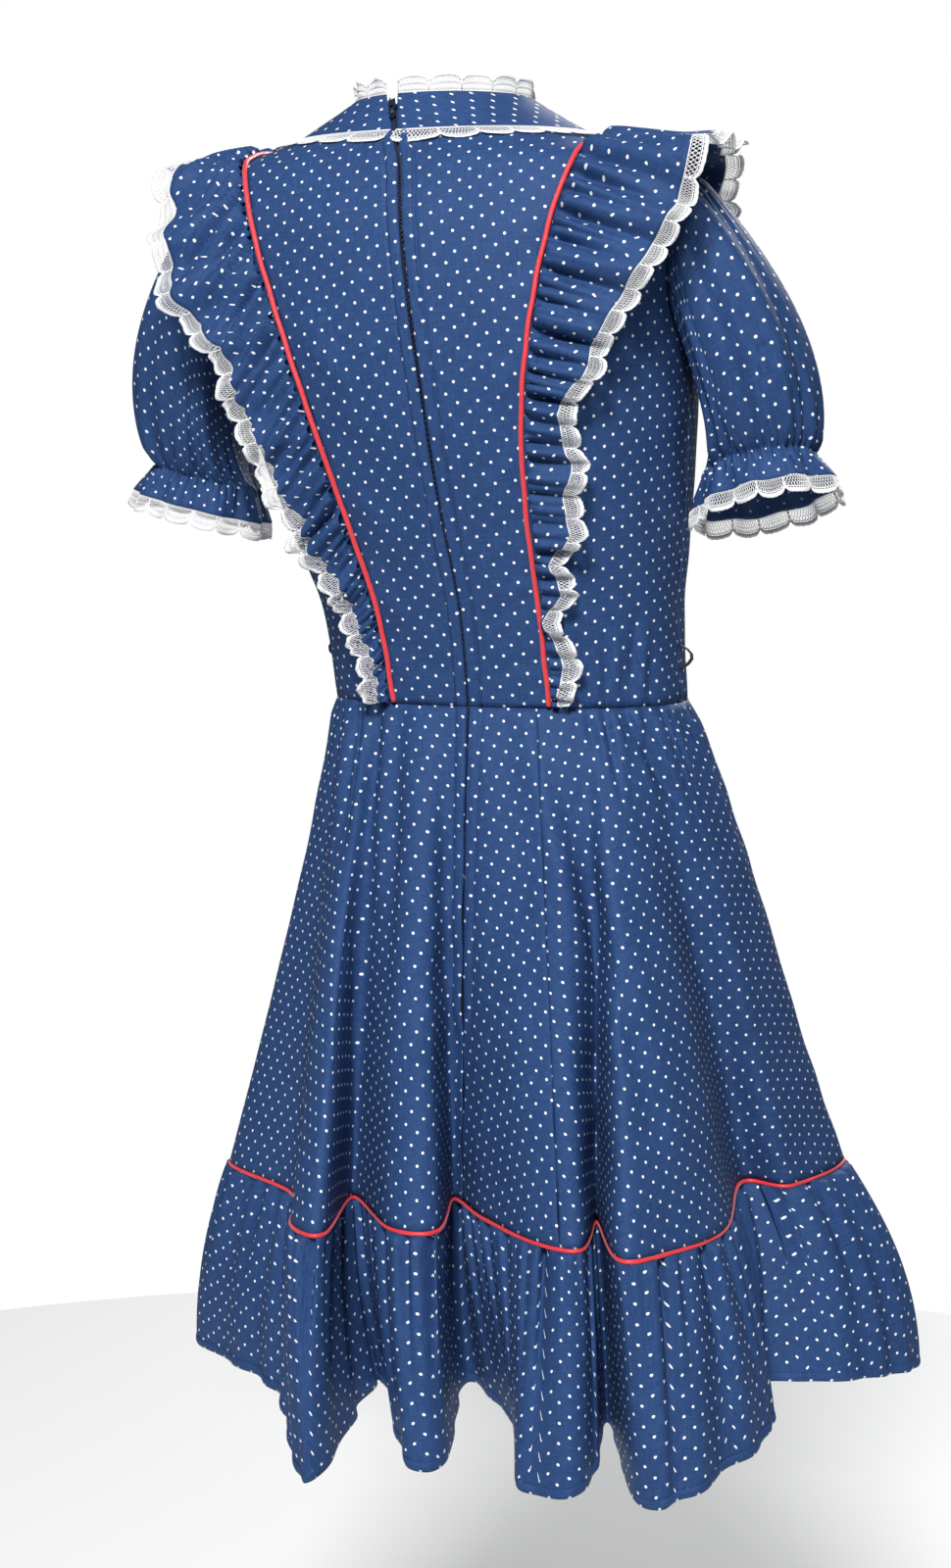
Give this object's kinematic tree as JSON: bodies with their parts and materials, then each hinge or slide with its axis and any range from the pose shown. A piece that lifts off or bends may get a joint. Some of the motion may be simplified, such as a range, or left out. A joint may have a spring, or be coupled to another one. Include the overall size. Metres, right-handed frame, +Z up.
{
  "type": "square dance dress",
  "caption": "Short fitted dress with a flared skirt, gathered flounce, ruffled shoulders, puff sleeves, lace edges, red piping and a back zip; worn form, hollow.",
  "frame": {"origin": "middle of the neck edge, level with its top at the back", "axes": "+Z up, +Y out of the wearer's back, +X to the wearer's left"},
  "size_m": [0.5335, 0.4683, 0.8619],
  "materials": {
    "navy_cloth": "thin plain-weave cotton, navy with small white dots",
    "white_lace": "narrow white net lace",
    "red_piping": "satin-covered cord",
    "black_thread": "twisted thread",
    "zip_tape": "woven tape with a nylon coil",
    "zip_metal": "dark enamel"
  },
  "bodies": {
    "dress": {"back_left": "navy_cloth", "side_back_left": "navy_cloth", "side_front_left": "navy_cloth", "ruffle_left": "navy_cloth", "sleeve_left": "navy_cloth", "back_right": "navy_cloth", "side_back_right": "navy_cloth", "side_front_right": "navy_cloth", "ruffle_right": "navy_cloth", "sleeve_right": "navy_cloth", "front_centre": "navy_cloth", "yoke": "navy_cloth", "skirt_back_left": "navy_cloth", "skirt_back_right": "navy_cloth", "skirt_side_right": "navy_cloth", "skirt_front": "navy_cloth", "skirt_side_left": "navy_cloth", "flounce": "navy_cloth", "ruffle_lace_left": "white_lace", "ruffle_lace_right": "white_lace", "cuff_lace_left": "white_lace", "cuff_lace_right": "white_lace", "neck_lace": "white_lace", "yoke_lace": "white_lace", "piping_left": "red_piping", "piping_right": "red_piping", "flounce_piping": "red_piping", "belt_loop_left": "black_thread", "belt_loop_right": "black_thread", "zip_tape": "zip_tape", "zip_slider": "zip_metal"},
    "pull_tab": {"zip_pull": "zip_metal"}
  },
  "joints": [
    {"name": "pull_tab_hinge", "type": "hinge", "parent": "dress", "child": "pull_tab", "pos_m": [0.01489, 0.05683, -0.00629], "axis": [0.9539, 0.0619, -0.2938], "range_deg": [0, 135]}
  ]
}
